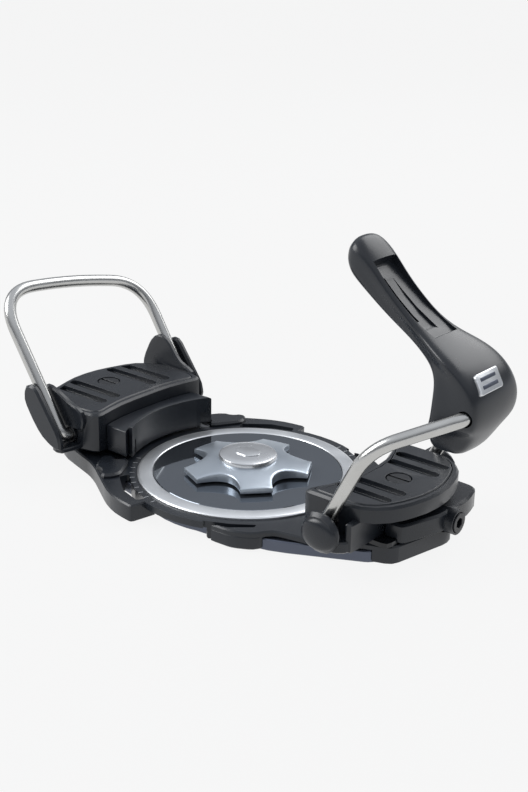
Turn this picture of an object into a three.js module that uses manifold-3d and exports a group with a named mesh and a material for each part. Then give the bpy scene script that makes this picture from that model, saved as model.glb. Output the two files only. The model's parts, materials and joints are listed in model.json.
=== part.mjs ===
// Snowboard plate binding for hard boots: a turnable centre disc, a frame on a flexible
// plate, two sliding boot blocks, a heel bail and a toe bail with a clamping lever.
// Millimetres. +X runs from heel to toe, +Y across the boot, +Z up from the board.
// The origin is the middle of the disc, on the board's surface.
import * as THREE from 'three';
import { mergeVertices } from 'three/addons/utils/BufferGeometryUtils.js';
import Module from 'manifold-3d';

const wasm = await Module();
wasm.setup();

// Driving dimensions.
const gap = 0.3;
const plateThick = 6.5;
const plateR = 59;
const hubR = 44;
const discR = 61;
const ringWidth = 8.5;
const deckThick = 3.7;
const deckRim = 6.3;
const carriageThick = 2.4;
const wireR = 3.5;
const bushWall = 1.5;
const heelScrewX = -109;
const toeScrewX = 98.6;
const heelBlockTop = 36.8;
const toeBlockTop = 35.8;
const padThick = 6;
const screwHeadR = 6.2;
const screwR = 3;
const starR = 34.6;
const starRootR = 24;
const capR = 16.2;
const heelPivotZ = 22;
const heelBailHalf = 52;
const heelBailLength = 81.5;
const heelBailSkew = 8;
const heelBailLean = 33;
const nearWingRise = 26;
const toeBailHalf = 46;
const toeBailLean = 27;
const toeKneeRise = 50.5;
const crossbarReach = 57.6;
const crossbarZ = 86;
const leverSwing = 110;
const leverHalf = 21.5;
const handleHalf = 12.3;
const riserTop = 21.5;
const arcWallR = 66;
const arcWallHeight = 17;
const arcWallThick = 2.6;
const heelTravel = [-4, 8];
const toeTravel = [-12, 8];
const roundSides = 48;

// Heights that stack up from the plate.
const deckBottom = plateThick + gap;
const deckTop = deckBottom + deckThick;
const carriageBottom = deckTop + gap;
const blockBottom = carriageBottom + carriageThick + gap;
const ringInner = discR - ringWidth;
const flangeR = ringInner - gap;
const flangeTop = deckBottom + 2.2;
const coverBottom = flangeTop + gap;
const coverTop = coverBottom + 2.6;
const bushR = wireR + bushWall;
const arcWallTop = blockBottom + arcWallHeight;

// Places along the binding, measured from the two pad screws.
const heelPivotX = heelScrewX + 16;
const heelBackX = heelScrewX - 22;
const heelFrontX = heelScrewX + 36;
const heelHalf = heelBailHalf - wireR - 3;
const toePivotX = toeScrewX - 11.6;
const toeInnerX = toeScrewX - 29.6;
const toeOuterX = toeScrewX + 24.4;
const toeHalf = toeBailHalf - wireR - 1;
const crossbarX = toePivotX + crossbarReach;
const toeUndercutX = toeScrewX + 4.6;
const toeCarriageEnd = toeScrewX + 12.9;
const toePivotZ = toeBlockTop - padThick - bushR - 2 * gap - 0.2;

const black = { color: 0x23262b, roughness: 0.42, metalness: 0.0 };
const deepBlack = { color: 0x17191d, roughness: 0.35, metalness: 0.0 };
const steel = { color: 0xc9cbcc, roughness: 0.22, metalness: 1.0 };
const silver = { color: 0xc3c8cd, roughness: 0.4, metalness: 0.6 };
const slate = { color: 0x4b515f, roughness: 0.4, metalness: 0.5 };
const mirror = { color: 0x30353c, roughness: 0.08, metalness: 0.2 };
const starBlue = { color: 0xa9b4c1, roughness: 0.35, metalness: 0.5 };

// A closed geometry as a solid for the boolean tools.
function solid(geometry) {
  const bare = geometry.clone();
  bare.deleteAttribute('normal');
  bare.deleteAttribute('uv');
  const merged = mergeVertices(bare, 1e-4);
  const triangles = [];
  const index = merged.index.array;
  for (let i = 0; i < index.length; i += 3) {
    const [a, b, c] = [index[i], index[i + 1], index[i + 2]];
    if (a !== b && b !== c && c !== a) triangles.push(a, b, c);
  }
  return new wasm.Manifold(new wasm.Mesh({
    numProp: 3,
    vertProperties: new Float32Array(merged.attributes.position.array),
    triVerts: new Uint32Array(triangles),
  }));
}

function part(name, body, look) {
  const mesh = body.getMesh();
  const geometry = new THREE.BufferGeometry();
  geometry.setAttribute('position', new THREE.BufferAttribute(mesh.vertProperties, 3));
  geometry.setIndex(new THREE.BufferAttribute(mesh.triVerts, 1));
  geometry.computeVertexNormals();
  const made = new THREE.Mesh(geometry, new THREE.MeshStandardMaterial(look));
  made.name = name;
  return made;
}

// A polygon with each corner rounded; a point may carry its own radius as a third number.
function rounded(points, radius) {
  const shape = new THREE.Shape();
  points.forEach((here, i) => {
    const corner = new THREE.Vector2(here[0], here[1]);
    const before = points[(i + points.length - 1) % points.length];
    const after = points[(i + 1) % points.length];
    const back = new THREE.Vector2(before[0], before[1]).sub(corner);
    const ahead = new THREE.Vector2(after[0], after[1]).sub(corner);
    const r = Math.min(here[2] ?? radius, back.length() * 0.45, ahead.length() * 0.45);
    const start = corner.clone().add(back.setLength(r));
    const end = corner.clone().add(ahead.setLength(r));
    if (i === 0) shape.moveTo(start.x, start.y);
    else shape.lineTo(start.x, start.y);
    shape.quadraticCurveTo(corner.x, corner.y, end.x, end.y);
  });
  shape.closePath();
  return shape;
}

// Half an outline, given for -Y from heel to toe, closed by its mirror image.
function mirrored(half) {
  const other = half.map(([x, y, r]) => [x, -y, r]).reverse();
  return [...half, ...other];
}

function slab(shape, bottom, top, bevel = 0, detail = 2) {
  const geometry = new THREE.ExtrudeGeometry(shape, {
    depth: top - bottom - 2 * bevel,
    bevelEnabled: bevel > 0,
    bevelThickness: bevel,
    bevelSize: bevel,
    bevelOffset: -bevel,
    bevelSegments: 1,
    curveSegments: detail,
  });
  geometry.translate(0, 0, bottom + bevel);
  return solid(geometry);
}

// A side profile in X and Z, drawn out across Y.
function across(shape, fromY, toY, bevel = 0, detail = 2) {
  const geometry = new THREE.ExtrudeGeometry(shape, {
    depth: toY - fromY - 2 * bevel,
    bevelEnabled: bevel > 0,
    bevelThickness: bevel,
    bevelSize: bevel,
    bevelOffset: -bevel,
    bevelSegments: 1,
    curveSegments: detail,
  });
  geometry.rotateX(Math.PI / 2);
  geometry.translate(0, toY - bevel, 0);
  return solid(geometry);
}

function upright(x, y, radius, bottom, top, sides = 24) {
  const geometry = new THREE.CylinderGeometry(radius, radius, top - bottom, sides);
  geometry.rotateX(Math.PI / 2);
  geometry.translate(x, y, (bottom + top) / 2);
  return solid(geometry);
}

function crosswise(x, z, radius, fromY, toY, sides = 24) {
  const geometry = new THREE.CylinderGeometry(radius, radius, toY - fromY, sides);
  geometry.translate(x, (fromY + toY) / 2, z);
  return solid(geometry);
}

function lengthwise(y, z, radius, fromX, toX, sides = 24) {
  const geometry = new THREE.CylinderGeometry(radius, radius, toX - fromX, sides);
  geometry.rotateZ(Math.PI / 2);
  geometry.translate((fromX + toX) / 2, y, z);
  return solid(geometry);
}

function box(fromX, toX, fromY, toY, fromZ, toZ) {
  const geometry = new THREE.BoxGeometry(toX - fromX, toY - fromY, toZ - fromZ);
  geometry.translate((fromX + toX) / 2, (fromY + toY) / 2, (fromZ + toZ) / 2);
  return solid(geometry);
}

// A profile of radius and height, turned about Z; it runs anticlockwise, out along the bottom.
function turned(profile, sides = roundSides) {
  const points = profile.map(([r, z]) => new THREE.Vector2(r, z));
  const geometry = new THREE.LatheGeometry([...points, points[0].clone()], sides);
  geometry.rotateX(Math.PI / 2);
  return solid(geometry);
}

// A round wire through the points, each corner's bend starting the given length before it.
// Two neighbouring bends must fit in the straight between their corners.
function wire(points, bends, steps, sides = 8) {
  const path = new THREE.CurvePath();
  let last = points[0];
  for (let i = 1; i < points.length - 1; i += 1) {
    const into = points[i - 1].clone().sub(points[i]).setLength(bends[i - 1]).add(points[i]);
    const out = points[i + 1].clone().sub(points[i]).setLength(bends[i - 1]).add(points[i]);
    path.add(new THREE.LineCurve3(last, into));
    path.add(new THREE.QuadraticBezierCurve3(into, points[i], out));
    last = out;
  }
  path.add(new THREE.LineCurve3(last, points[points.length - 1]));
  const section = new THREE.Shape();
  section.absarc(0, 0, wireR, 0, 2 * Math.PI);
  return solid(new THREE.ExtrudeGeometry(section, {
    steps, extrudePath: path, curveSegments: sides / 2, bevelEnabled: false,
  }));
}

function stadium(x, y, length, radius) {
  const shape = new THREE.Shape();
  shape.absarc(x + length / 2 - radius, y, radius, -Math.PI / 2, Math.PI / 2);
  shape.absarc(x - length / 2 + radius, y, radius, Math.PI / 2, 1.5 * Math.PI);
  return shape;
}

// The adjusting screw at the toe end, and where the block is cut away above it.
const lockScrewZ = 15.2;
const lockScrewY = 14;
const lockBossR = 6.6;

// ---- plate and frame ----

const frameScrews = [[-64, -36], [-64, 36], [70, -31], [70, 31]];
const teeSlotHalf = 8.3;
const teeHalf = 7;
const slotSpan = (screwX, travel) => [screwX - teeHalf + travel[0] - 2 * gap,
  screwX + teeHalf + travel[1] + 2 * gap];
const heelSlot = slotSpan(heelScrewX, heelTravel);
const toeSlot = slotSpan(toeScrewX, toeTravel);

// The plate's outline, or the room for it, a little larger all round.
function plateOutline(room) {
  return mirrored([[heelScrewX - 7 - room, -20, 4], [heelScrewX + 5 - room, -32 - room, 8],
    [-56, -46 - room, 12], [0, -plateR - room, 30], [25, -57 - room, 20], [56, -51 - room, 10],
    [toeScrewX + 2.4 + room, -27.5 - room, 2], [toeScrewX + 7.4 + room, -21, 2]]);
}

function flexPlate() {
  const outline = plateOutline(0);
  let body = slab(rounded(outline, 3), 0, plateThick, 0.6);
  body = body.add(upright(0, 0, plateR, 0, plateThick, roundSides));
  body = body.subtract(upright(0, 0, hubR + gap, -1, plateThick + 1, roundSides));
  for (const [x, y] of frameScrews) body = body.subtract(upright(x, y, 2.3, 1.5, 20, 12));
  return body;
}

function frameBody() {
  const heel = mirrored([[heelScrewX - 14, -22, 6], [heelScrewX - 1, -38, 8],
    [-75, -48.5, 8], [-66, -53, 6],
    [-42, -68, 10], [-31, -72.5, 8], [-17, -74.5, 2], [-14, -60, 1]]);
  const toeSide = [[18, -60, 2], [25, -62.5, 3], [41, -61.5, 6], [51, -56, 4],
    [56, -47, 4], [82, -41, 6]];
  const toeEnd = [[toeScrewX - 0.6, -28.5, 4], [toeScrewX + 13.8, -23, 4],
    [toeScrewX + 22, 15.4, 5], [toeScrewX + 18.9, 24, 5], [toeScrewX + 4, 32, 6]];
  const toe = [...toeSide, ...toeEnd, ...toeSide.map(([x, y, r]) => [x, -y, r]).reverse()];
  const lip = [[20, -56], [25, -62.5], [41, -61.5], [51, -56], [54.5, -48], [40, -50]];
  let body = slab(rounded(heel, 3), deckBottom, deckTop, 0.8);
  body = body.add(slab(rounded(toe, 3), deckBottom, deckTop, 0.8));
  body = body.add(upright(0, 0, discR + gap + deckRim, deckBottom, deckTop, roundSides));
  const skirt = slab(rounded(heel, 3), 1.2, deckBottom + 1);
  const nearLip = slab(rounded(lip, 3), 0.8, deckBottom + 1, 0.6);
  const farLip = nearLip.mirror([0, 1, 0]);
  const toeSkirt = slab(rounded(toe, 3), 1.2, deckBottom + 1).subtract(
    box(-10, toeScrewX + 4, -90, 90, -5, 20));
  let lower = skirt.add(nearLip).add(farLip).add(toeSkirt);
  const plateRoom = rounded(plateOutline(2 * gap), 3);
  lower = lower.subtract(slab(plateRoom, -2, deckBottom));
  lower = lower.subtract(upright(0, 0, plateR + gap, -2, deckBottom, roundSides));
  body = body.add(lower);
  for (const side of [-1, 1]) body = body.add(shoulder(side));
  const bossStart = toeUndercutX + toeTravel[0];
  body = body.subtract(lengthwise(lockScrewY, lockScrewZ, lockBossR + 2 * gap, bossStart, 140));
  body = body.subtract(upright(0, 0, discR + gap, -2, 40, roundSides));
  body = body.subtract(box(heelSlot[0], heelSlot[1], -teeSlotHalf, teeSlotHalf, 5, 12));
  body = body.subtract(box(toeSlot[0], toeSlot[1], -teeSlotHalf, teeSlotHalf, 5, 12));
  for (const side of [-1, 1]) body = body.subtract(rimSlots(side));
  for (const [x, y] of frameScrews) {
    body = body.subtract(upright(x, y, 2.3, 0, 20, 12));
    body = body.subtract(upright(x, y, 4.3, deckTop - 1.4, 20, 16));
  }
  return body;
}

// The raised saddle beside the ring that the heel block passes over, scooped on its outer side.
function shoulder(side) {
  const outline = rounded([[-73, 40], [-67, 52], [-52, 61], [-47, 52], [-58, 34]], 4);
  let body = slab(outline, deckTop - 1, blockBottom - gap - 0.4, 1.1);
  body = body.subtract(upright(-62, 60.5, 7, 8, 20, 20));
  return side > 0 ? body : body.mirror([0, 1, 0]);
}

// The long openings in the frame's rim, two on each side.
function rimSlots(side) {
  const early = rounded([[-46, 46.5], [-30, 58], [-18, 62.8], [-20, 67], [-34, 63], [-48, 52]], 1);
  const late = rounded([[22, 62.4], [36, 55.3], [46, 47.8], [47, 50.5], [37, 59.5], [24, 63.6]], 1);
  const body = slab(early, -1, 20).add(slab(late, -1, 20));
  const clear = body.subtract(upright(0, 0, discR + gap + 1.2, -2, 30, roundSides));
  return side > 0 ? clear : clear.mirror([0, 1, 0]);
}

function frameScrew(x, y) {
  const head = upright(x, y, 4, deckTop - 1.1, deckTop - 0.1, 16);
  const slot = box(x - 2.6, x + 2.6, y - 0.5, y + 0.5, deckTop - 0.6, deckTop + 1);
  return head.add(upright(x, y, 2, 1.9, deckTop - 1, 12)).subtract(slot);
}

// ---- centre disc and star knob ----

const boltPitch = 40;
const boltR = 3.2;
const shaftR = 6;
const spindleR = 4;
const bossR = 11;
const starBottom = coverTop + 1.2;
const starTop = 20;

function clampDisc() {
  let body = turned([[0, 0], [hubR, 0], [hubR, deckBottom], [flangeR, deckBottom],
    [flangeR, flangeTop], [0, flangeTop]]);
  for (const x of [-boltPitch / 2, boltPitch / 2]) {
    for (const y of [-boltPitch / 2, boltPitch / 2]) {
      body = body.subtract(slab(stadium(x, y, 4 * boltR, boltR), -1, 20));
      body = body.subtract(slab(stadium(x, y, 6 * boltR, 2 * boltR), 4.2, 20));
    }
  }
  return body.subtract(upright(0, 0, shaftR + gap, 3.5, 20, 20));
}

function angleRing() {
  return turned([[ringInner, deckBottom], [discR, deckBottom], [discR, deckTop + 0.4],
    [discR - 1, deckTop + 0.8], [ringInner + 1, coverTop + 0.3], [ringInner, coverTop]]);
}

function discCover() {
  return turned([[bossR + gap, coverBottom], [flangeR, coverBottom], [flangeR, coverTop - 0.4],
    [flangeR - 0.4, coverTop], [bossR + gap, coverTop]]);
}

function lockShaft() {
  const shaft = upright(0, 0, shaftR, 5.4, coverBottom, 20);
  const lugs = box(-shaftR + 0.6, shaftR - 0.6, -2, 2, 4.6, 5.6);
  return shaft.add(lugs).add(upright(0, 0, spindleR, 6, starBottom + 2.6, 20));
}

function waveWasher() {
  return turned([[shaftR - 2.4, 3.7], [shaftR, 3.7], [shaftR, 4.4], [shaftR - 2.4, 4.4]], 20);
}

// Five broad arms with hollowed flanks, cut from one shallow dome.
function starKnob() {
  const shape = new THREE.Shape();
  const reach = (radius, degrees, side) => {
    const a = THREE.MathUtils.degToRad(degrees);
    const x = radius * Math.cos(a) - side * Math.sin(a);
    return new THREE.Vector2(x, radius * Math.sin(a) + side * Math.cos(a));
  };
  for (let arm = 0; arm < 5; arm += 1) {
    const angle = 30 + 72 * arm;
    const from = reach(starR, angle, -8.6);
    const to = reach(starR, angle, 8.6);
    const next = reach(starR, angle + 72, -8.6);
    const root = reach(starRootR, angle + 36, 0);
    const pull = root.clone().multiplyScalar(2).sub(to.clone().add(next).multiplyScalar(0.5));
    if (arm === 0) shape.moveTo(from.x, from.y);
    shape.lineTo(to.x, to.y);
    shape.quadraticCurveTo(pull.x, pull.y, next.x, next.y);
  }
  const arms = slab(shape, starBottom, starTop + 4, 0.9, 4);
  const dome = turned([[0, starBottom], [starR + 3, starBottom], [starR + 3, starBottom + 3],
    [28, starTop - 2.2], [capR + 1, starTop - 0.4], [0, starTop]], 30);
  let body = arms.intersect(dome);
  body = body.add(upright(0, 0, bossR, coverBottom + gap, starBottom + 1, 20));
  body = body.subtract(upright(0, 0, spindleR + gap, 0, starBottom + 2.6 + gap, 20));
  return body.subtract(upright(0, 0, capR + gap, starTop - 1.6, starTop + 8, 16));
}

function starCap() {
  const low = starTop - 1.6 + gap;
  return turned([[0, low], [capR, low], [capR, starTop + 0.4], [capR - 1.2, starTop + 1.3],
    [capR * 0.55, starTop + 2.5], [0, starTop + 2.9]], 16);
}

// ---- boot blocks ----

const grooveWidth = 6.2;
const grooveDepth = 2.6;

function heelOutline(inset) {
  const half = [[heelBackX + inset, -9, 14], [heelBackX + 8 + inset, -36 + inset, 9],
    [heelScrewX + 1, -heelHalf + inset, 8], [heelFrontX - 11, -heelHalf + inset, 6],
    [heelFrontX - inset, -heelHalf + 3 + inset, 4],
    [heelFrontX - 5 - inset, -20, 16]];
  return rounded(mirrored(half), 6);
}

function toeOutline(inset) {
  const half = [[toeInnerX + 11 + inset, -18, 16], [toeInnerX + inset, -toeHalf + inset, 5],
    [toeScrewX + 5.4, -toeHalf + inset, 14], [toeOuterX - 7 - inset, -31 + inset * 0.6, 12],
    [toeOuterX - inset, -10, 14]];
  return rounded(mirrored(half), 6);
}

function padGrooves(fromX, toX, skew, top) {
  let cuts = null;
  for (const y of [-26, -15, 15, 26]) {
    const shift = -skew * Math.abs(y);
    const cut = slab(stadium((fromX + toX) / 2 + shift, y, toX - fromX, grooveWidth / 2),
      top - grooveDepth, top + 5);
    cuts = cuts ? cuts.add(cut) : cut;
  }
  return cuts;
}

function teeNut(x) {
  const halfY = teeSlotHalf - gap;
  const body = box(x - teeHalf, x + teeHalf, -halfY, halfY, deckBottom + gap, deckTop);
  return body.subtract(upright(x, 0, screwR + gap, 0, 20, 12));
}

function padScrew(x, padTop) {
  const head = upright(x, 0, screwHeadR, padTop - 3, padTop - 0.3, 20);
  const slot = box(x - screwHeadR - 1, x + screwHeadR + 1, -0.7, 0.7, padTop - 1.6, padTop + 1);
  return head.add(upright(x, 0, screwR, deckBottom + 0.6, padTop - 2, 12)).subtract(slot);
}

function carriage(fromX, toX, screwX) {
  const shape = rounded([[fromX, -27], [toX, -27], [toX, 27], [fromX, 27]], 4);
  const body = slab(shape, carriageBottom, carriageBottom + carriageThick);
  return body.subtract(upright(screwX, 0, screwR + gap, 0, 30, 12));
}

// One ear beside the heel: an inner wing, lower on the near side, an outer rib, and the slot
// between them where the bail's leg swings.
function heelEar(side) {
  const x = heelPivotX;
  const z = heelPivotZ;
  const peak = z + (side > 0 ? 34 : nearWingRise);
  const wing = rounded([[x - 31, z + 4], [x + 12, z + 4], [x + 11, z + 16], [x, z + 19],
    [x - 10, peak - 2, 4], [x - 18, peak, 4], [x - 24, peak - 5], [x - 31, z + 15]], 5);
  const rib = rounded([[x + 7, z - wireR - 2], [x + 1, z - wireR - 2], [x - 8.5, z - 1],
    [x - 15.5, z + 7], [x - 23, z + 19], [x - 21, z + 28],
    [x - 13, z + 29], [x + 6, z + 3]], 5);
  const inner = heelBailHalf - wireR - 1;
  const outer = heelBailHalf + wireR + 1;
  let body = across(wing, inner - 3.6, inner, 0.8);
  body = body.add(across(rib, outer, outer + 4, 1.2));
  const web = rounded([[x - 5, 30], [x + 10, 30], [x + 7, outer + 3], [x - 2, outer + 3]], 4);
  body = body.add(slab(web, z - wireR - 3.8, z - wireR - 1, 0.6));
  return side > 0 ? body : body.mirror([0, 1, 0]);
}

function bushBore(x, z, half) {
  return crosswise(x, z, bushR + gap, half - 16 - gap, half + 12, 16);
}

function heelBlock() {
  let body = slab(heelOutline(0), blockBottom, heelBlockTop, 1.2);
  body = body.subtract(slab(heelOutline(3), heelBlockTop - padThick, heelBlockTop + 9));
  for (const side of [-1, 1]) {
    const bore = bushBore(heelPivotX, heelPivotZ, heelBailHalf);
    body = body.add(heelEar(side));
    body = body.subtract(side > 0 ? keepInner(bore) : keepInner(bore).mirror([0, 1, 0]));
  }
  return body.subtract(upright(heelScrewX, 0, screwR + gap, 0, 60, 12));
}

// Only the stretch of a bore that lies inside the ear's inner wing.
function keepInner(bore) {
  return bore.intersect(box(-200, 200, 0, heelBailHalf - 1, 0, 80));
}

function heelPad() {
  const top = heelBlockTop + 0.5;
  let body = slab(heelOutline(3 + gap), heelBlockTop - padThick + gap, top, 0.7);
  body = body.subtract(padGrooves(heelScrewX - 17, heelScrewX + 23, -0.05, top));
  body = body.subtract(upright(heelScrewX, 0, screwHeadR + 2 * gap, top - 3 - gap, 60, 20));
  return body.subtract(upright(heelScrewX, 0, screwR + gap, 0, 60, 12));
}

function bush(x, z, half, side) {
  const tube = crosswise(x, z, bushR, half - 16, half - wireR - 1.6, 16);
  const bored = tube.subtract(crosswise(x, z, wireR + gap, 0, 80, 16));
  return side > 0 ? bored : bored.mirror([0, 1, 0]);
}

function sector(radius, fromZ, toZ, halfWidth) {
  const round = upright(0, 0, radius, fromZ, toZ, roundSides);
  return round.intersect(box(-radius - 1, -20, -halfWidth, halfWidth, fromZ, toZ));
}

// The stepped filler between the heel block and the arc wall, curved to clear the disc.
function heelRiser() {
  const limit = arcWallR + arcWallThick + gap;
  const back = heelFrontX - 24;
  const wide = rounded([[back, -36, 3], [-52, -36, 3], [-44, 20], [-52, 36, 3], [back, 36, 3]], 3);
  let body = slab(wide, blockBottom, arcWallTop - 1.5, 0.6);
  body = body.subtract(upright(0, 0, limit, 0, 60, roundSides));
  const blockRoom = slab(heelOutline(-2 * gap), 0, 60);
  return body.subtract(blockRoom);
}

// The upright wall beside the disc, with a step under its far end and a slit at its near end.
function heelArcWall() {
  const full = sector(arcWallR + arcWallThick, blockBottom - 0.7, arcWallTop, 80);
  const inner = upright(0, 0, arcWallR, 0, 60, roundSides);
  let body = full.subtract(inner);
  const span = rounded([[-90, -32], [-50, -32], [-20, 0], [-50, 32.5], [-90, 32.5]], 1);
  body = body.intersect(slab(span, 0, 60));
  body = body.subtract(box(-80, -30, 27.5, 60, 0, arcWallTop - 9));
  return body.subtract(box(-80, -30, -27.6, -26.4, 0, arcWallTop - 9));
}

function toeBlock() {
  let body = slab(toeOutline(0), blockBottom, toeBlockTop, 1.2);
  body = body.subtract(slab(toeOutline(3), toeBlockTop - padThick, toeBlockTop + 9));
  for (const side of [-1, 1]) {
    const bore = bushBore(toePivotX, toePivotZ, toeBailHalf).intersect(
      box(0, 200, 0, toeBailHalf - wireR - 1, 0, 80));
    body = body.add(toeCheek(side));
    body = body.subtract(side > 0 ? bore : bore.mirror([0, 1, 0]));
  }
  const under = toeBlockTop - padThick - 2;
  body = body.subtract(box(toeUndercutX, toeOuterX + 17, -60, 60, 0, under));
  return body.subtract(upright(toeScrewX, 0, screwR + gap, 0, 60, 12));
}

// The rounded knuckle outside the bail's leg, joined to the block below and on both sides.
function toeCheek(side) {
  const x = toePivotX;
  const z = toePivotZ;
  const inner = toeBailHalf - wireR - 1;
  const outer = toeBailHalf + wireR + 1;
  const knuckle = rounded([[x - 6, z - 11], [x + 8, z - 12], [x + 14, z - 4], [x + 13, z + 4],
    [x + 7, z + 9], [x - 3, z + 9], [x - 8, z + 3]], 7);
  const foot = rounded([[x - 17, inner - 10], [toeUndercutX + 1, inner - 10],
    [toeUndercutX - 1, outer - 1], [x + 8, outer + 3], [x - 5, outer + 3], [x - 16, inner + 3]], 5);
  let body = across(knuckle, outer, outer + 4.5, 1.8);
  body = body.add(slab(foot, blockBottom, z - wireR - 1, 0.8));
  const corner = rounded([[x + 12.5, inner - 8], [toeUndercutX + 1, inner - 8],
    [toeUndercutX + 0.5, outer - 4], [x + 13, outer - 3]], 1);
  body = body.add(slab(corner, blockBottom, z + 4.6, 0.6));
  return side > 0 ? body : body.mirror([0, 1, 0]);
}

function toePad() {
  const top = toeBlockTop + 0.5;
  let body = slab(toeOutline(3 + gap), toeBlockTop - padThick + gap, top, 0.7);
  body = body.subtract(padGrooves(toeScrewX - 16.1, toeScrewX + 15.4, 0.1, top));
  body = body.subtract(upright(toeScrewX, 0, screwHeadR + 2 * gap, top - 3 - gap, 60, 20));
  return body.subtract(upright(toeScrewX, 0, screwR + gap, 0, 60, 12));
}

// The lower toe piece that carries the adjusting screw, stepped out beyond the block.
function toeRiser() {
  const inner = toeUndercutX + gap;
  const outline = rounded([[inner, -19, 2], [toeScrewX + 15.7, -19, 3], [toeOuterX - 1, 5, 4],
    [toeOuterX - 0.5, 30, 6], [toeOuterX - 5, 46, 4], [inner, 47, 3]], 4);
  let body = slab(outline, deckTop + gap, riserTop, 1.2);
  const face = toeOuterX + 3.5;
  body = body.add(lengthwise(lockScrewY, lockScrewZ, lockBossR, inner, face, 20));
  const under = carriageBottom + carriageThick + gap;
  body = body.subtract(box(60, toeCarriageEnd + gap, -27 - gap, 27 + gap, 0, under));
  return body.subtract(lengthwise(lockScrewY, lockScrewZ, 5.2 + 1.3 * gap, face - 6.5, face + 9, 20));
}

function toeAdjustScrew() {
  const face = toeOuterX + 4.2;
  const head = lengthwise(lockScrewY, lockScrewZ, 5.2, face - 6.9, face, 20);
  return head.subtract(lengthwise(lockScrewY, lockScrewZ, 2.8, face - 2.7, face + 3, 6));
}

// ---- bails ----

function heelBail() {
  const lean = THREE.MathUtils.degToRad(heelBailLean);
  const at = (along, y) => new THREE.Vector3(heelPivotX - along * Math.sin(lean), y,
    heelPivotZ + along * Math.cos(lean));
  const wide = heelBailHalf + 0.8;
  const bow = 4;
  const points = [at(0, -heelBailHalf + 15), at(0, -heelBailHalf),
    at(heelBailLength + heelBailSkew, -wide), at(heelBailLength + bow, 0),
    at(heelBailLength - heelBailSkew, wide), at(0, heelBailHalf), at(0, heelBailHalf - 15)];
  return wire(points, [5, 25, 26, 24, 5], 60);
}

function toeBailPoints() {
  const lean = THREE.MathUtils.degToRad(toeBailLean);
  const kneeX = toePivotX + toeKneeRise * Math.sin(lean);
  const kneeZ = toePivotZ + toeKneeRise * Math.cos(lean);
  const side = (s) => [
    new THREE.Vector3(toePivotX, s * (toeBailHalf - 15), toePivotZ),
    new THREE.Vector3(toePivotX, s * toeBailHalf, toePivotZ),
    new THREE.Vector3(kneeX, s * (toeBailHalf - 0.5), kneeZ),
    new THREE.Vector3(crossbarX, s * (leverHalf - 0.8), crossbarZ),
  ];
  return [...side(-1), ...side(1).reverse()];
}

function toeBail() {
  return wire(toeBailPoints(), [5, 14, 4, 4, 14, 5], 54);
}

// ---- clamping lever ----

// Points measured from the toe bail's crossbar, which the lever turns on.
function fromBar(points) {
  return points.map(([x, z, r]) => [crossbarX + x, crossbarZ + z, r]);
}

const leverProfile = fromBar([[-78.6, 61, 8], [-72.1, 70.5, 8], [-63.6, 64, 5],
  [-54.6, 53.5, 10], [-31.6, 33.5, 12], [-16.6, 27, 12], [-3.6, 20, 8], [7.2, 6, 4],
  [2.4, -10, 6], [-7.6, -26, 6], [-20.6, -26, 6], [-25.6, -18, 5], [-20.6, -6, 4],
  [-19.6, 14, 10], [-35.6, 26, 14], [-56.6, 38.5, 20], [-73.6, 50.5, 8]]);
const leverPlan = [[-84.6, -8, 7], [-78.6, -handleHalf - 0.7, 8], [-66.6, -handleHalf - 0.6, 8],
  [-54.6, -handleHalf, 10], [-34.6, -handleHalf, 10], [-17.6, -leverHalf, 10],
  [11.4, -leverHalf, 2]].map(([x, y, r]) => [crossbarX + x, y, r]);
const faceHigh = leverProfile[6];
const faceLow = leverProfile[7];
const badgeTilt = Math.atan2(faceLow[0] - faceHigh[0], faceHigh[1] - faceLow[1]);
const badgeSize = [11, 24];

function leverBody() {
  const side = across(rounded(leverProfile, 6), -leverHalf, leverHalf, 1.5);
  const plan = slab(rounded(mirrored(leverPlan), 6), crossbarZ - 46, crossbarZ + 84);
  const low = box(crossbarX - 45, crossbarX + 15, -14, 14, crossbarZ - 36, crossbarZ - 8);
  const high = box(crossbarX - 95, crossbarX + 15, -30, 30, crossbarZ - 8.1, crossbarZ + 84);
  const nose = low.add(high);
  let body = side.intersect(plan).intersect(nose);
  body = body.subtract(gripPocket()).subtract(badgePlate(gap));
  body = body.subtract(crosswise(crossbarX, crossbarZ, wireR + gap + 0.2, -30, 30, 16));
  for (const s of [-1, 1]) {
    const depth = wireR + 5.5;
    const flare = new THREE.CylinderGeometry(2 * wireR + 4.5, wireR + gap + 0.2, depth, 16);
    if (s < 0) flare.rotateX(Math.PI);
    flare.translate(crossbarX, s * (leverHalf + 0.6 - depth / 2), crossbarZ);
    body = body.subtract(solid(flare).intersect(legSweep()));
  }
  return body;
}

// Where the bail's leg passes, seen from the side, as the lever swings about the crossbar.
function legSweep() {
  const room = wireR + 0.7;
  const [, , knee, end] = toeBailPoints();
  const first = Math.atan2(knee.z - end.z, knee.x - end.x);
  const last = first + THREE.MathUtils.degToRad(leverSwing);
  const beside = (angle, length, side) => [length * Math.cos(angle) - side * Math.sin(angle),
    length * Math.sin(angle) + side * Math.cos(angle)];
  const wedge = fromBar([beside(first, 0, -room), beside(first, 16, -room), [-14, -16], [14, -16],
    beside(last, 16, room), beside(last, 0, room)]);
  return across(rounded(wedge, 0.5), -40, 40);
}

// The finger pocket in the handle's outer face, with a narrow slot in its floor.
function gripPocket() {
  const pocket = rounded(fromBar([[-62.6, 55], [-59.6, 50.5], [-35.6, 34], [-26.6, 30.5], [-14.6, 41],
    [-52.6, 71]]), 2);
  const slot = rounded(fromBar([[-57.6, 55], [-37.6, 40], [-40.6, 30.5], [-60.6, 44]]), 1);
  const hollow = across(pocket, -handleHalf + 2.4, handleHalf - 2.4);
  return hollow.add(across(slot, -6.6, -3.4));
}

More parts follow.
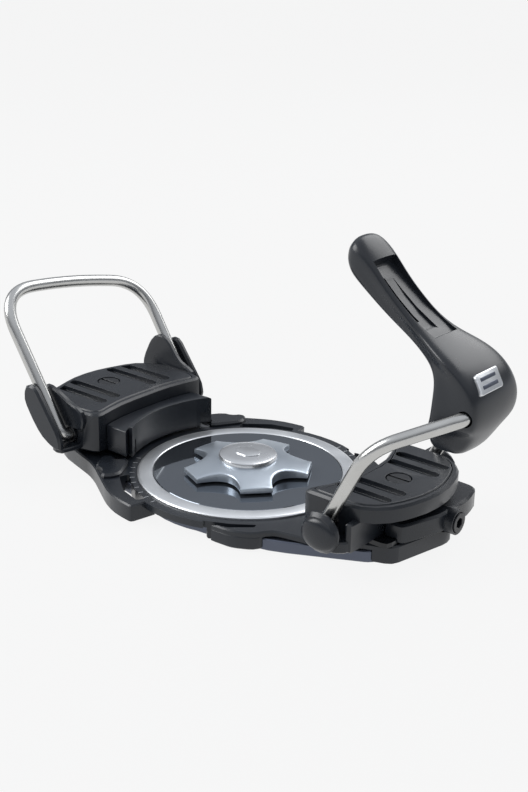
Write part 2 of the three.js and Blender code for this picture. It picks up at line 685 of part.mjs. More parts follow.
function badgePlate(room) {
  const thick = 1.6;
  const geometry = new THREE.BoxGeometry(thick + room, badgeSize[1] + 2 * room,
    badgeSize[0] + 2 * room);
  geometry.translate(0.5 * room - 0.2, 0, 0);
  geometry.rotateY(-badgeTilt);
  const along = 0.42;
  geometry.translate(faceHigh[0] + along * (faceLow[0] - faceHigh[0]), -5,
    faceHigh[1] + along * (faceLow[1] - faceHigh[1]));
  return solid(geometry);
}

const group = new THREE.Group();
group.name = 'plate_binding';
group.add(part('flex_plate', flexPlate(), slate));
group.add(part('frame', frameBody(), black));
frameScrews.forEach(([x, y], i) => {
  group.add(part(`frame_screw_${i + 1}`, frameScrew(x, y), steel));
});
group.add(part('clamp_disc', clampDisc(), slate));
group.add(part('angle_ring', angleRing(), silver));
group.add(part('disc_cover', discCover(), mirror));
group.add(part('wave_washer', waveWasher(), steel));
group.add(part('lock_shaft', lockShaft(), steel));
group.add(part('star_knob', starKnob(), starBlue));
group.add(part('star_cap', starCap(), silver));
group.add(part('heel_carriage', carriage(heelScrewX - 15, heelScrewX + 29, heelScrewX), deepBlack));
group.add(part('heel_tee_nut', teeNut(heelScrewX), steel));
group.add(part('heel_riser', heelRiser(), black));
group.add(part('heel_arc_wall', heelArcWall(), deepBlack));
group.add(part('heel_block', heelBlock(), black));
group.add(part('heel_pad', heelPad(), black));
group.add(part('heel_pad_screw', padScrew(heelScrewX, heelBlockTop + 0.5), deepBlack));
group.add(part('heel_bush_near', bush(heelPivotX, heelPivotZ, heelBailHalf, -1), deepBlack));
group.add(part('heel_bush_far', bush(heelPivotX, heelPivotZ, heelBailHalf, 1), deepBlack));
group.add(part('heel_bail', heelBail(), steel));
group.add(part('toe_carriage', carriage(toeScrewX - 20.6, toeCarriageEnd, toeScrewX), deepBlack));
group.add(part('toe_tee_nut', teeNut(toeScrewX), steel));
group.add(part('toe_riser', toeRiser(), black));
group.add(part('toe_adjust_screw', toeAdjustScrew(), deepBlack));
group.add(part('toe_block', toeBlock(), black));
group.add(part('toe_pad', toePad(), black));
group.add(part('toe_pad_screw', padScrew(toeScrewX, toeBlockTop + 0.5), deepBlack));
group.add(part('toe_bush_near', bush(toePivotX, toePivotZ, toeBailHalf, -1), deepBlack));
group.add(part('toe_bush_far', bush(toePivotX, toePivotZ, toeBailHalf, 1), deepBlack));
group.add(part('toe_bail', toeBail(), steel));
group.add(part('toe_lever', leverBody(), black));
group.add(part('lever_badge', badgePlate(0), silver));

export default group;
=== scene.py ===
"""The looks of a hard-boot snowboard plate binding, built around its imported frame.

Metres, +X from heel to toe, +Y across the boot, +Z up from the board.
"""
import json
import math

import bmesh
import bpy
from mathutils import Matrix, Vector


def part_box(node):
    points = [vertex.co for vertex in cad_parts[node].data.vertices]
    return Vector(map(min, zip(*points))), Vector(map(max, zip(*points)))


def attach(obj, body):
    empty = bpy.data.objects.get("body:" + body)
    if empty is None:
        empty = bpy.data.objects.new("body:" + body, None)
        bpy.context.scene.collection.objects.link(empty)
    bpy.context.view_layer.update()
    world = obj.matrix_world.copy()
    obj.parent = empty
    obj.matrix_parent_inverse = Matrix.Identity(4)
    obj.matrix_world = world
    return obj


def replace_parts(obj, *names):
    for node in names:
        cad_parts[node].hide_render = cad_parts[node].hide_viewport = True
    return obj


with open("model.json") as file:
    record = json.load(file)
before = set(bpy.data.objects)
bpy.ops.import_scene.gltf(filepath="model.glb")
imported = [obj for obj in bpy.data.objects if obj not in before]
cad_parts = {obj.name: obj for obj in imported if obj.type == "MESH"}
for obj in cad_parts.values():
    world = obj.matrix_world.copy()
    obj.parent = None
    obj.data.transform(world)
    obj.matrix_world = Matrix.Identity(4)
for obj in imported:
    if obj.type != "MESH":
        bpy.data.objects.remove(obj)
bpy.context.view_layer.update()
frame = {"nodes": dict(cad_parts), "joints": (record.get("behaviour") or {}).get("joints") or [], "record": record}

MM = 0.001
RECORD = frame["record"]
BODY_OF = {n: body for body, nodes in RECORD["behaviour"]["bodies"].items() for n in nodes}
SLOT_OF = {row["node"]: row["material_slot"] for row in RECORD["subparts"]}
PIVOT = {j["name"]: Vector(j.get("pos_m", (0, 0, 0))) for j in frame["joints"]}


# ---- materials ----

def linear(code):
    """An sRGB hex colour as linear red, green, blue and alpha."""
    parts = [int(code[i:i + 2], 16) / 255 for i in (1, 3, 5)]
    return tuple(p / 12.92 if p <= 0.04045 else ((p + 0.055) / 1.055) ** 2.4
                 for p in parts) + (1.0,)


def add(tree, kind, inputs=(), **settings):
    """Adds a node; an input is a value, or an output socket to link."""
    node = tree.nodes.new(kind)
    for name, value in settings.items():
        setattr(node, name, value)
    for socket, value in dict(inputs).items():
        if isinstance(value, bpy.types.NodeSocket):
            tree.links.new(value, node.inputs[socket])
        else:
            node.inputs[socket].default_value = value
    return node


def start_material(name):
    material = bpy.data.materials.new(name)
    material.use_nodes = True
    tree = material.node_tree
    place = add(tree, "ShaderNodeTexCoord").outputs["Object"]
    return material, tree, tree.nodes["Principled BSDF"], place


def finish_surface(tree, shader, tone, pattern, depth_mm, strength, rough):
    """Tone and roughness that drift with the broad pattern, and a bump from the fine one."""
    fine, broad = pattern
    colour = add(tree, "ShaderNodeMix", {0: broad, 6: linear(tone[0]), 7: linear(tone[1])},
                 data_type="RGBA")
    tree.links.new(colour.outputs[2], shader.inputs["Base Color"])
    spread = add(tree, "ShaderNodeMapRange", {"Value": broad, "From Min": 0.3, "From Max": 0.7,
                                              "To Min": rough[0], "To Max": rough[1]})
    tree.links.new(spread.outputs["Result"], shader.inputs["Roughness"])
    bump = add(tree, "ShaderNodeBump", {"Height": fine, "Distance": depth_mm * MM,
                                        "Strength": strength})
    tree.links.new(bump.outputs["Normal"], shader.inputs["Normal"])


def moulded_nylon(name, tone, rough, grain_mm=0.7):
    """Glass-filled nylon, moulded satin: near black, a soft broad sheen, a faint fine grain.

    A real mould's grain is about 0.15 mm. It is drawn coarser, so that it shows.
    """
    material, tree, shader, place = start_material(name)
    grain = add(tree, "ShaderNodeTexNoise", {"Vector": place, "Scale": 1 / (grain_mm * MM),
                                             "Detail": 2.0, "Roughness": 0.6})
    flow = add(tree, "ShaderNodeTexNoise", {"Vector": place, "Scale": 1 / (26 * MM),
                                            "Detail": 2.0})
    finish_surface(tree, shader, tone, (grain.outputs[0], flow.outputs[0]), 0.03, 0.35, rough)
    shader.inputs["IOR"].default_value = 1.53
    shader.inputs["Specular IOR Level"].default_value = 0.4
    return material


def anodised_aluminium(name, tone, rough, grain_mm=0.45):
    """Anodised aluminium, bead blasted: an even satin metal with a very fine tooth.

    A real blasted tooth is under 0.1 mm. It is drawn coarser, so that it shows.
    """
    material, tree, shader, place = start_material(name)
    grain = add(tree, "ShaderNodeTexNoise", {"Vector": place, "Scale": 1 / (grain_mm * MM),
                                             "Detail": 2.0})
    cloud = add(tree, "ShaderNodeTexNoise", {"Vector": place, "Scale": 1 / (18 * MM),
                                             "Detail": 3.0})
    finish_surface(tree, shader, tone, (grain.outputs[0], cloud.outputs[0]), 0.015, 0.25, rough)
    shader.inputs["Metallic"].default_value = 0.85
    return material


def turned_aluminium(name, tone, rough, pitch_mm=0.5):
    """Turned aluminium: fine rings about the middle, which draw a highlight out in a fan.

    Real turning marks are about 0.1 mm apart. They are drawn coarser, so that they show.
    """
    material, tree, shader, place = start_material(name)
    flat = add(tree, "ShaderNodeVectorMath", {0: place, 1: (1, 1, 0)}, operation="MULTIPLY")
    radius = add(tree, "ShaderNodeVectorMath", {0: flat.outputs[0]}, operation="LENGTH")
    rings = add(tree, "ShaderNodeTexNoise", {"W": radius.outputs["Value"],
                                             "Scale": 1 / (pitch_mm * MM), "Detail": 2.0},
                noise_dimensions="1D")
    cloud = add(tree, "ShaderNodeTexNoise", {"Vector": place, "Scale": 1 / (22 * MM),
                                             "Detail": 2.0})
    finish_surface(tree, shader, tone, (rings.outputs[0], cloud.outputs[0]), 0.02, 0.3, rough)
    shader.inputs["Metallic"].default_value = 0.9
    return material


def polished_steel(name, tone, rough):
    """Polished stainless or plated steel: bright, faintly uneven, with a soft haze.

    Real polishing marks are a few hundredths of a millimetre. They are drawn coarser, as an
    even unevenness, so that they show.
    """
    material, tree, shader, place = start_material(name)
    fine = add(tree, "ShaderNodeTexNoise", {"Vector": place, "Scale": 1 / (0.8 * MM),
                                            "Detail": 3.0})
    haze = add(tree, "ShaderNodeTexNoise", {"Vector": place, "Scale": 1 / (14 * MM),
                                            "Detail": 3.0})
    finish_surface(tree, shader, tone, (fine.outputs[0], haze.outputs[0]), 0.008, 0.2, rough)
    shader.inputs["Metallic"].default_value = 1.0
    return material


def mirror_acrylic(name, tone, rough):
    """Smoked acrylic with a mirror coat: a dark cover that shows what stands on it."""
    material, tree, shader, place = start_material(name)
    ripple = add(tree, "ShaderNodeTexNoise", {"Vector": place, "Scale": 1 / (16 * MM),
                                              "Detail": 1.0})
    film = add(tree, "ShaderNodeTexNoise", {"Vector": place, "Scale": 1 / (34 * MM),
                                            "Detail": 2.0})
    finish_surface(tree, shader, tone, (ripple.outputs[0], film.outputs[0]), 0.01, 0.1, rough)
    shader.inputs["Metallic"].default_value = 0.9
    return material


LOOKS = {
    "slate_plate": anodised_aluminium("slate_anodised_plate", ("#515661", "#5E6370"), (0.3, 0.42)),
    "black_nylon": moulded_nylon("satin_black_nylon", ("#191C21", "#23272D"), (0.24, 0.36)),
    "deep_black": moulded_nylon("dark_black_nylon", ("#101216", "#191C21"), (0.22, 0.34)),
    "ring_silver": turned_aluminium("turned_silver_ring", ("#D8DBDE", "#E6E8EA"), (0.28, 0.38)),
    "mirror_cover": mirror_acrylic("smoked_mirror_cover", ("#6F757D", "#7A8088"), (0.04, 0.07)),
    "star_blue": anodised_aluminium("blue_grey_anodised_star", ("#A9B2BC", "#BAC2CA"),
                                    (0.28, 0.36)),
    "cap_silver": turned_aluminium("brushed_silver_cap", ("#CDCFD2", "#DCDEE0"), (0.22, 0.3)),
    "bail_steel": polished_steel("polished_stainless_bail", ("#B4B4B2", "#C8C8C6"),
                                 (0.2, 0.3)),
    "steel": polished_steel("plated_steel_screw", ("#7B7D80", "#909296"), (0.24, 0.34)),
}


# ---- making and placing pieces ----

def put(bm, name, node, material=None, sharp=35):
    """A finished bmesh as a piece that rides with a CAD node's body and wears its slot's material, unless another
    material is given.

    Edges that turn by more than the angle sharp, in degrees, stay crisp.
    """
    mesh = bpy.data.meshes.new(name)
    bm.to_mesh(mesh)
    bm.free()
    piece = bpy.data.objects.new(name, mesh)
    bpy.context.scene.collection.objects.link(piece)
    mesh.shade_smooth()
    mesh.set_sharp_from_angle(angle=math.radians(sharp))
    mesh.materials.append(material or LOOKS[SLOT_OF[node]])
    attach(piece, BODY_OF[node])
    return piece


def merged_copy(node):
    """The CAD node's mesh with its shared points joined and its flat faces made whole."""
    weld = 0.02 * MM
    bm = bmesh.new()
    bm.from_mesh(frame["nodes"][node].data)
    bmesh.ops.remove_doubles(bm, verts=bm.verts, dist=weld)
    bmesh.ops.dissolve_degenerate(bm, edges=bm.edges, dist=weld)
    bmesh.ops.dissolve_limit(bm, angle_limit=math.radians(1.5), verts=bm.verts, edges=bm.edges)
    return bm


def moulding(name, node, width_mm):
    """A node with its own shape and soft moulded edges."""
    piece = put(merged_copy(node), name, node)
    bevel = piece.modifiers.new("soft_edges", "BEVEL")
    bevel.width = width_mm * MM
    bevel.segments = 3
    bevel.limit_method = "ANGLE"
    bevel.angle_limit = math.radians(32)
    bevel.use_clamp_overlap = True
    bevel.harden_normals = True
    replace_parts(piece, node)


def bend(start, corner, end, steps):
    """Points that ease from start to end, drawn towards the corner between them."""
    for k in range(steps + 1):
        t = k / steps
        yield start * (1 - t) ** 2 + corner * 2 * t * (1 - t) + end * t * t


def rounded(points, radius, steps=6):
    """A closed line in millimetres with bent corners, which take a set share of a side at most."""
    most = 0.45
    line = []
    for i, here in enumerate(points):
        corner = Vector(here)
        back = Vector(points[i - 1]) - corner
        ahead = Vector(points[(i + 1) % len(points)]) - corner
        r = min(radius, back.length * most, ahead.length * most)
        line += bend(corner + back.normalized() * r, corner, corner + ahead.normalized() * r,
                     steps)
    return line


def prism(line, low, high, across=False, edge=0.0, segments=3):
    """A closed line drawn from low to high, along Z or across Y, with its far rim bevelled."""
    bm = bmesh.new()
    lay = (lambda p, h: Vector((p[0], h, p[1]))) if across else (lambda p, h: Vector((*p, h)))
    ring = [bm.verts.new(lay(p, low) * MM) for p in line]
    face = bm.faces.new(ring)
    raised = bmesh.ops.extrude_face_region(bm, geom=[face])["geom"]
    top = [v for v in raised if isinstance(v, bmesh.types.BMVert)]
    rim = [e for e in raised if isinstance(e, bmesh.types.BMEdge)]
    bmesh.ops.translate(bm, verts=top, vec=lay((0, 0), high - low) * MM)
    bm.normal_update()
    bmesh.ops.recalc_face_normals(bm, faces=bm.faces)
    if edge:
        bmesh.ops.bevel(bm, geom=rim, offset=edge * MM, segments=segments, profile=0.5,
                        affect="EDGES", material=-1, offset_type="OFFSET")
    return bm


def turned(profile, sides=128):
    """A profile of radius and height, spun about the middle axis."""
    weld = 0.005 * MM
    bm = bmesh.new()
    points = [bm.verts.new(Vector((r, 0, z)) * MM) for r, z in profile]
    edges = [bm.edges.new(pair) for pair in zip(points, points[1:])]
    bmesh.ops.spin(bm, geom=points + edges, cent=(0, 0, 0), axis=(0, 0, 1),
                   angle=2 * math.pi, steps=sides, use_merge=True, use_duplicate=False)
    bmesh.ops.remove_doubles(bm, verts=bm.verts, dist=weld)
    bmesh.ops.dissolve_degenerate(bm, edges=bm.edges, dist=weld)
    bmesh.ops.recalc_face_normals(bm, faces=bm.faces)
    return bm


def loft(sections):
    """A closed skin over cross-sections that all have the same number of points."""
    bm = bmesh.new()
    rings = []
    for section in sections:
        points = [bm.verts.new(p) for p in section]
        rings.append([bm.edges.new((a, b)) for a, b in zip(points, points[1:] + points[:1])])
    for near, far in zip(rings, rings[1:]):
        bmesh.ops.bridge_loops(bm, edges=near + far)
    for end in (rings[0], rings[-1]):
        bmesh.ops.contextual_create(bm, geom=end)
    bmesh.ops.recalc_face_normals(bm, faces=bm.faces)
    return bm


def gather(bm, part):
    """Adds one bmesh to another and frees it."""
    mesh = bpy.data.meshes.new("part")
    part.to_mesh(mesh)
    part.free()
    bm.from_mesh(mesh)
    bpy.data.meshes.remove(mesh)


def carve(piece, cutters):
    """Applies a piece's modifiers, with the cutters cut out, and leaves it one plain mesh."""
    for cutter in cutters:
        mesh = bpy.data.meshes.new("cutter")
        cutter.to_mesh(mesh)
        cutter.free()
        tool = bpy.data.objects.new("cutter", mesh)
        bpy.context.scene.collection.objects.link(tool)
        cut = piece.modifiers.new("cut", "BOOLEAN")
        cut.object = tool
        cut.operation = "DIFFERENCE"
        cut.solver = "EXACT"
    bpy.context.view_layer.update()
    graph = bpy.context.evaluated_depsgraph_get()
    made = bpy.data.meshes.new_from_object(piece.evaluated_get(graph))
    tools = [m.object for m in piece.modifiers if m.type == "BOOLEAN"]
    piece.modifiers.clear()
    piece.data = made
    for tool in tools:
        bpy.data.objects.remove(tool)


# ---- bails ----

WIRE_R = 3.5
WIRE_SIDES = 32
CUT_END = 0.5       # how far the rod's cut ends are rounded off
TUCK = 15           # how far each end turns in, through its bush


def smooth_route(corners, reaches, steps=14, longest=3):
    """A line through the corners, each bent over its own reach, with no long straight steps."""
    line = [corners[0]]
    for before, corner, after, reach in zip(corners, corners[1:], corners[2:], reaches):
        start = corner + (before - corner).normalized() * reach
        end = corner + (after - corner).normalized() * reach
        line += bend(start, corner, end, steps)
    line.append(corners[-1])
    dense = [line[0]]
    for here, there in zip(line, line[1:]):
        pieces = max(1, round((there - here).length / longest))
        dense += [here.lerp(there, k / pieces) for k in range(1, pieces + 1)]
    return dense


def bail(name, node, corners, reaches):
    """A drawn steel rod bent along its route, its cut ends slightly rounded off."""
    route = smooth_route(corners, reaches)
    ways = [(b - a).normalized() for a, b in zip(route, route[1:])]
    ways = [ways[0]] + [(a + b).normalized() for a, b in zip(ways, ways[1:])] + [ways[-1]]
    first, last = (route[0], ways[0]), (route[-1], ways[-1])
    stops = [(*first, WIRE_R - CUT_END), (first[0] + first[1] * CUT_END, first[1], WIRE_R)]
    stops += [(p, w, WIRE_R) for p, w in zip(route[1:-1], ways[1:-1])]
    stops += [(last[0] - last[1] * CUT_END, last[1], WIRE_R), (*last, WIRE_R - CUT_END)]
    sections = []
    side = ways[0].cross(Vector((0, 0, 1))).normalized()
    for place, way, r in stops:
        side = (side - way * side.dot(way)).normalized()
        up = way.cross(side)
        sections.append([(place + (side * math.cos(a) + up * math.sin(a)) * r) * MM
                         for a in (2 * math.pi * k / WIRE_SIDES for k in range(WIRE_SIDES))])
    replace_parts(put(loft(sections), name, node, sharp=60), node)


def heel_bail():
    """The tall hoop behind the heel, its near shoulder a little higher than its far one."""
    pivot = PIVOT["heel_bail_swing"] / MM
    lean = math.radians(33)
    half, length, skew, bow, spread = 52, 81.5, 8, 4, 0.8

    def at(along, y):
        return Vector((pivot.x - along * math.sin(lean), y, pivot.z + along * math.cos(lean)))

    corners = [at(0, TUCK - half), at(0, -half), at(length + skew, -half - spread),
               at(length + bow, 0), at(length - skew, half + spread), at(0, half),
               at(0, half - TUCK)]
    bail("heel_hoop_rod", "heel_bail", corners, (5, 25, 26, 24, 5))


def toe_bail():
    """The kneed bail at the toe, whose crossbar carries the lever."""
    pivot, bar = PIVOT["toe_bail_swing"] / MM, PIVOT["lever_swing"] / MM
    lean, rise, half, bar_half = math.radians(27), 50.5, 46, 20.7
    knee = (pivot.x + rise * math.sin(lean), pivot.z + rise * math.cos(lean))
    draw_in = 0.5       # how far the knee stands inside the bush
    near = [Vector((pivot.x, TUCK - half, pivot.z)), Vector((pivot.x, -half, pivot.z)),
            Vector((knee[0], draw_in - half, knee[1])), Vector((bar.x, -bar_half, bar.z))]
    far = [Vector((p.x, -p.y, p.z)) for p in reversed(near)]
    bail("toe_hoop_rod", "toe_bail", near + far, (5, 14, 4, 4, 14, 5))


# ---- disc and knob ----

def span(node):
    """A node's lowest and highest corners, in millimetres."""
    low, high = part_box(node)
    return low / MM, high / MM


def ring():
    """The flat silver ring, its outer rim rounded over in steps."""
    low, high = span("angle_ring")
    outer, base, top = high.x, low.z, high.z
    inner = span("disc_cover")[1].x + 0.3
    bm = turned([(inner, base), (outer, base), (outer, top - 0.9), (outer - 0.5, top - 0.35),
                 (outer - 1.3, top - 0.15), (inner + 1.2, top), (inner + 0.4, top - 0.1),
                 (inner, top - 0.5), (inner, base)])
    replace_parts(put(bm, "silver_ring", "angle_ring"), "angle_ring")


def cover():
    """The mirror disc inside the ring, with the knob's shaft hole in its middle."""
    low, high = span("disc_cover")
    hole = 11.3
    bm = turned([(hole, low.z), (high.x, low.z), (high.x, high.z - 0.3),
                 (high.x - 0.3, high.z), (hole, high.z), (hole, low.z)])
    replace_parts(put(bm, "mirror_disc", "disc_cover"), "disc_cover")


def star_outline(reach, root, half, arms=5, first=30):
    """Five broad square-ended arms with hollow flanks."""
    line = []
    for arm in range(arms):
        turn = [math.radians(first + 360 / arms * k) for k in (arm, arm + 1)]
        ends = [Vector((reach * math.cos(a) - s * math.sin(a),
                        reach * math.sin(a) + s * math.cos(a)))
                for a, s in ((turn[0], -half), (turn[0], half), (turn[1], -half))]
        middle = (turn[0] + turn[1]) / 2
        low = Vector((root * math.cos(middle), root * math.sin(middle)))
        pull = low * 2 - (ends[1] + ends[2]) / 2
        line += [ends[0].lerp(ends[1], k / 5) for k in range(5)]
        line += list(bend(ends[1], pull, ends[2], 20))[:-1]
    return line


def star():
    """The knob: arms that fall away from the cap, with a rolled rim."""
    top = span("star_knob")[1].z
    cap_r = span("star_cap")[1].x
    base = span("disc_cover")[1].z + 1.2
    reach, root, half = 34.6, 24.0, 8.6
    bm = prism(star_outline(reach, root, half), base, top, edge=1.3, segments=4)
    grid, rows = 3.2, 11    # cuts across the top, so that it can fall away smoothly
    for axis in ((1, 0, 0), (0, 1, 0)):
        for k in range(-rows, rows + 1):
            bmesh.ops.bisect_plane(bm, geom=bm.verts[:] + bm.edges[:] + bm.faces[:],
                                   plane_co=Vector(axis) * k * grid * MM, plane_no=axis,
                                   dist=0.001 * MM)
    step, drop, skirt = 0.5, 3.3, 1.5
    for v in bm.verts:
        r = v.co.xy.length / MM
        share = max(0.0, (v.co.z / MM - base - skirt) / (top - base - skirt))
        fall = max(0.0, r - cap_r) / (reach + 1 - cap_r)
        if r > cap_r - 2:
            v.co.z -= share * (step + drop * fall ** 1.3) * MM
    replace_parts(put(bm, "star_grip", "star_knob", sharp=40), "star_knob")


def cap():
    """The round cap with a plain raised hexagon in its middle."""
    low, high = span("star_cap")
    r, z = high.x, high.z
    bm = turned([(0, low.z), (r - 0.2, low.z), (r, low.z + 0.2), (r, z - 2.2), (r - 0.5, z - 1.4),
                 (r - 1.4, z - 1.1), (r * 0.7, z - 0.75), (r * 0.4, z - 0.6), (0, z - 0.55)])
    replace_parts(put(bm, "knob_cap", "star_cap"), "star_cap")
    side = 8.4
    corners = [(side * math.cos(a), side * 0.8 * math.sin(a))
               for a in (math.pi / 3 * k for k in range(6))]
    put(prism(rounded(corners, 1.6), z - 0.9, z - 0.05, edge=0.35), "cap_emblem", "star_cap")


# ---- lever ----

# Each station gives the outer and the inner edge, measured from the crossbar, then half the
# width at the outer and at the inner edge, how round the corners are, and the flank's hollow.
LEVER_STATIONS = [
    ((-76.8, 67.5), (-78.6, 61.0), 6.5, 6.5, 3.0, 0.0),
    ((-74.1, 70.3), (-77.2, 55.0), 10.6, 10.2, 4.0, 0.0),
    ((-70.2, 70.3), (-74.2, 50.8), 12.4, 11.6, 4.2, 0.0),
    ((-64.8, 65.6), (-69.4, 47.4), 13.0, 11.4, 3.4, 0.4),
    ((-59.4, 59.4), (-63.8, 43.2), 12.7, 10.6, 2.6, 0.9),
    ((-53.0, 51.8), (-56.2, 37.6), 12.4, 10.2, 2.2, 1.2),
    ((-44.2, 43.8), (-47.2, 31.6), 12.4, 10.2, 2.2, 1.3),
    ((-34.8, 36.2), (-38.0, 26.2), 12.8, 10.6, 2.2, 1.3),
    ((-25.6, 31.0), (-29.6, 20.6), 15.6, 12.6, 2.6, 1.6),
    ((-15.8, 27.2), (-23.2, 16.6), 19.6, 16.4, 3.0, 2.0),
    ((-6.6, 22.6), (-20.2, 11.4), 21.5, 19.2, 3.0, 2.2),
    ((1.4, 15.6), (-19.8, 5.0), 21.5, 20.6, 2.6, 1.8),
    ((6.0, 6.8), (-20.0, -1.4), 21.5, 21.0, 2.4, 1.0),
    ((5.8, -1.2), (-20.4, -6.4), 21.4, 21.0, 2.2, 0.4),
    ((4.2, -6.6), (-21.6, -9.2), 20.4, 20.2, 2.0, 0.0),
    ((2.6, -10.4), (-23.6, -11.8), 14.4, 14.0, 2.4, 0.0),
    ((-2.0, -18.2), (-25.2, -17.8), 13.8, 13.4, 3.0, 0.0),
    ((-6.8, -24.4), (-22.0, -24.8), 12.2, 12.2, 3.0, 0.0),
]


def lever_ring(station):
    """One cross-section of the lever, as points going once round."""
    outer, inner, wide, narrow, r, hollow = station
    out, back = Vector(outer), Vector(inner)
    along = (back - out).normalized()
    depth = (back - out).length
    crown = 0.05 * wide
    half = [(0, out - along * crown), (wide - r, out), (wide, out + along * r),
            (wide - hollow - 0.4 * (wide - narrow), out + along * depth * 0.52),
            (narrow, back - along * r), (narrow - r, back), (0, back)]
    mirror = [(-y, p) for y, p in half[-2:0:-1]]
    centre = PIVOT["lever_swing"]
    return [centre + Vector((p.x, y, p.y)) * MM for y, p in half + mirror]


# The hollows in the lever's face: each outline is measured from the crossbar, and has how round
# its corners are and how far it reaches across, from the near side to the far one.
LEVER_HOLLOWS = {
    "pocket": ([(-63.6, 57), (-59.2, 53.4), (-51.6, 47.0), (-43, 40.2), (-35.6, 35.6),
                (-25.6, 29.6), (-14.6, 41), (-52.6, 75)], 1.5, -9.6, 9.6),
    "step": ([(-61.4, 57), (-57, 51.4), (-49.2, 44.2), (-40.6, 37.4), (-33.2, 32.8),
              (-26, 31.6), (-14.6, 41), (-52.6, 75)], 1.5, -8.6, 1.4),
    "slot": ([(-57, 56), (-35.6, 39), (-39.6, 28), (-60.6, 43)], 1.0, -7.6, -4.6),
}


def beside_bar(points):
    """Points measured from the crossbar, placed along X and Z."""
    centre = PIVOT["lever_swing"] / MM
    return [(centre.x + x, centre.z + z) for x, z in points]


def lever():
    """The clamping lever, with its finger hollows and the crossbar's bore cut in."""
    piece = put(loft(lever_ring(station) for station in LEVER_STATIONS), "clamp_lever",
                "toe_lever", sharp=50)
    rounding = piece.modifiers.new("round", "SUBSURF")
    rounding.levels = rounding.render_levels = 3
    carve(piece, [])
    cutters = [prism(rounded(beside_bar(outline), radius), near, far, across=True)
               for outline, radius, near, far in LEVER_HOLLOWS.values()]
    bore_r, past_side = 4.0, 30
    bore = beside_bar([(bore_r * math.cos(a), bore_r * math.sin(a))
                       for a in (math.pi / 16 * k for k in range(32))])
    carve(piece, cutters + [prism(bore, -past_side, past_side, across=True)])
    piece.data.shade_smooth()
    piece.data.set_sharp_from_angle(angle=math.radians(32))
    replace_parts(piece, "toe_lever")


def badge():
    """The pale plate let into the lever's face, with two plain stripes along it."""
    low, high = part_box("lever_badge")
    tilt, proud = math.atan2(10.8, 14), 1.3
    out = Vector((math.cos(tilt), 0, math.sin(tilt)))
    middle = (low + high) / 2 + out * proud * MM
    turn = Matrix.Rotation(math.radians(90), 4, "Y") @ Matrix.Rotation(math.radians(90), 4, "Z")
    stand = Matrix.Translation(middle) @ Matrix.Rotation(-tilt, 4, "Y") @ turn
    plate = rounded([(-10.5, -5), (9, -5), (11.5, 5), (-8, 5)], 1.6)
    bm = prism(plate, -1.6, 0.9, edge=0.4)
    bm.transform(stand)
    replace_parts(put(bm, "badge_plate", "lever_badge"), "lever_badge")
    apart, half = 1.9, 0.9
    stripes = bmesh.new()
    for y in (-apart, apart):
        lean = 0.25 * y
        stripe = rounded([(lean - 6.6, y - half), (lean + 6.2, y - half),
                          (lean + 6.7, y + half), (lean - 6.1, y + half)], 0.4)
        gather(stripes, prism(stripe, 0.8, 1.25, edge=0.15))
    stripes.transform(stand)
    put(stripes, "badge_bars", "lever_badge", LOOKS["slate_plate"])


# ---- blocks, frame and marks ----

def knuckle_domes():
    """The rounded outer face of each toe knuckle, where the bail's end is hidden."""
    pivot = PIVOT["toe_bail_swing"] / MM
    flank, sunk = span("toe_block")[1].y, 0.4
    for name, side in (("knuckle_dome_near", -1), ("knuckle_dome_far", 1)):
        bm = turned([(0, -1.5), (9.0, -1.5), (9.3, -0.4), (8.7, 0.7), (7.2, 1.6), (5.0, 2.2),
                     (2.6, 2.6), (0, 2.7)], 64)
        bm.transform(Matrix.Diagonal((1.12, 0.92, 1, 1)))
        bmesh.ops.recalc_face_normals(bm, faces=bm.faces)
        bm.transform(Matrix.Rotation(math.radians(-90 * side), 4, "X"))
        middle = Vector((pivot.x + 2.6, side * (flank - sunk), pivot.z - 1.8))
        bm.transform(Matrix.Translation(middle * MM))
        put(bm, name, "toe_block")


# Pieces that keep their node's shape: name, node, and how far their edges are softened in mm.
MOULDINGS = [
    ("slate_plate", "flex_plate", 0.5), ("deck_frame", "frame", 0.45),
    ("heel_block_shell", "heel_block", 0.7), ("heel_tread", "heel_pad", 0.45),
    ("toe_block_shell", "toe_block", 0.7), ("toe_tread", "toe_pad", 0.45),
    ("heel_filler", "heel_riser", 0.5), ("curved_wall", "heel_arc_wall", 0.4),
    ("toe_step", "toe_riser", 0.6), ("adjuster", "toe_adjust_screw", 0.4),
    ("heel_tread_screw", "heel_pad_screw", 0.25), ("toe_tread_screw", "toe_pad_screw", 0.25),
]


def scale_marks():
    """Plain tick marks on the frame's rim, beside the ring."""
    top = span("frame_screw_1")[1].z + 0.1
    inner = span("angle_ring")[1].x + 1.6
    outer, half, pitch = inner + 2.6, 0.22, 6
    bm = bmesh.new()
    for degrees in (*range(205, 262, pitch), *range(20, 76, pitch)):
        mark = prism(rounded([(inner, -half), (outer, -half), (outer, half), (inner, half)],
                             0.1, 2), top - 0.1, top + 0.06)
        mark.transform(Matrix.Rotation(math.radians(degrees), 4, "Z"))
        gather(bm, mark)
    put(bm, "scale_marks", "frame", LOOKS["ring_silver"])


# ---- studio ----

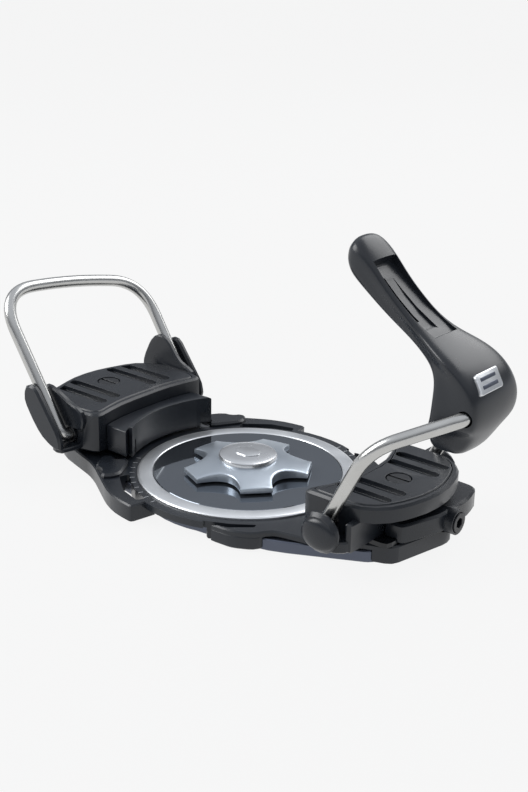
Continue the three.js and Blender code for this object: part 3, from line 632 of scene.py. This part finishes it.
def floor():
    """Pale paper, just under the plate. It is an even glow that takes little of the lamps."""
    bm = bmesh.new()
    bmesh.ops.create_grid(bm, x_segments=4, y_segments=4, size=16)
    mesh = bpy.data.meshes.new("floor")
    bm.to_mesh(mesh)
    bm.free()
    sheet = bpy.data.objects.new("floor", mesh)
    sheet.location.z = -0.4 * MM
    bpy.context.scene.collection.objects.link(sheet)
    material, tree, shader, place = start_material("pale_paper")
    shade = add(tree, "ShaderNodeTexNoise", {"Vector": place, "Scale": 3.0})
    paper = add(tree, "ShaderNodeMix", {0: shade.outputs[0], 6: linear("#2E2E2E"),
                                        7: linear("#303030")}, data_type="RGBA")
    tree.links.new(paper.outputs[2], shader.inputs["Base Color"])
    shader.inputs["Emission Color"].default_value = linear("#F8F8F8")
    shader.inputs["Emission Strength"].default_value = 0.95
    shader.inputs["Roughness"].default_value = 0.9
    shader.inputs["Specular IOR Level"].default_value = 0.0
    sheet.data.materials.append(material)


def sky():
    """A soft dome, with a bright rim where it meets the floor.

    It is dark just above that rim, so that the black pieces' upright sides stay dark.
    """
    world = bpy.data.worlds.new("studio")
    world.use_nodes = True
    tree = world.node_tree
    light = tree.nodes["Background"]
    light.inputs["Color"].default_value = linear("#F4F8FF")
    way = add(tree, "ShaderNodeTexCoord").outputs["Generated"]
    height = add(tree, "ShaderNodeSeparateXYZ", {0: way}).outputs["Z"]
    dome = add(tree, "ShaderNodeMapRange", {"Value": height, "From Min": 0.14, "From Max": 0.75,
                                            "To Min": 0.08, "To Max": 0.85})
    rim = add(tree, "ShaderNodeMapRange", {"Value": height, "From Min": 0.09, "From Max": 0.13,
                                           "To Min": 0.95, "To Max": 0.0})
    glow = add(tree, "ShaderNodeMath", {0: dome.outputs["Result"], 1: rim.outputs["Result"]},
               operation="MAXIMUM")
    tree.links.new(glow.outputs[0], light.inputs["Strength"])
    bpy.context.scene.world = world


def softboxes():
    """Two broad lamps: one beside the heel, one high behind the far side."""
    for name, place, size, power in (("left_box", (-0.9, -0.7, 0.8), 0.8, 13),
                                     ("back_box", (0.1, 1.2, 1.1), 1.2, 13)):
        lamp = bpy.data.lights.new(name, "AREA")
        lamp.size = size
        lamp.energy = power
        box = bpy.data.objects.new(name, lamp)
        box.location = place
        box.rotation_euler = (-Vector(place)).to_track_quat("-Z", "Y").to_euler()
        bpy.context.scene.collection.objects.link(box)


def camera():
    """A camera a little above and beside the toe, with a slightly long lens."""
    azimuth, elevation, roll = (math.radians(a) for a in (38.99, 20.68, 1.1))
    distance, target = 0.6792, Vector((0.0106, 0, 0.0578))
    back = Vector((math.sin(azimuth) * math.cos(elevation),
                   -math.cos(azimuth) * math.cos(elevation), math.sin(elevation)))
    right = Vector((math.cos(azimuth), math.sin(azimuth), 0))
    up = back.cross(right)
    turned_right = right * math.cos(roll) + up * math.sin(roll)
    turned_up = up * math.cos(roll) - right * math.sin(roll)
    data = bpy.data.cameras.new("camera")
    data.lens = 57.55
    data.sensor_width = 36
    data.clip_start, data.clip_end = 0.01, 60
    eye = bpy.data.objects.new("camera", data)
    turn = Matrix((turned_right, turned_up, back)).transposed().to_4x4()
    eye.matrix_world = Matrix.Translation(target + back * distance) @ turn
    bpy.context.scene.collection.objects.link(eye)
    bpy.context.scene.camera = eye


for node, thing in frame["nodes"].items():
    thing.data.materials.clear()
    thing.data.materials.append(LOOKS[SLOT_OF[node]])
for piece_name, cad_node, edge_width in MOULDINGS:
    moulding(piece_name, cad_node, edge_width)
heel_bail()
toe_bail()
ring()
cover()
star()
cap()
lever()
badge()
scale_marks()
knuckle_domes()
floor()
sky()
softboxes()
camera()
bpy.context.scene.view_settings.view_transform = "Standard"
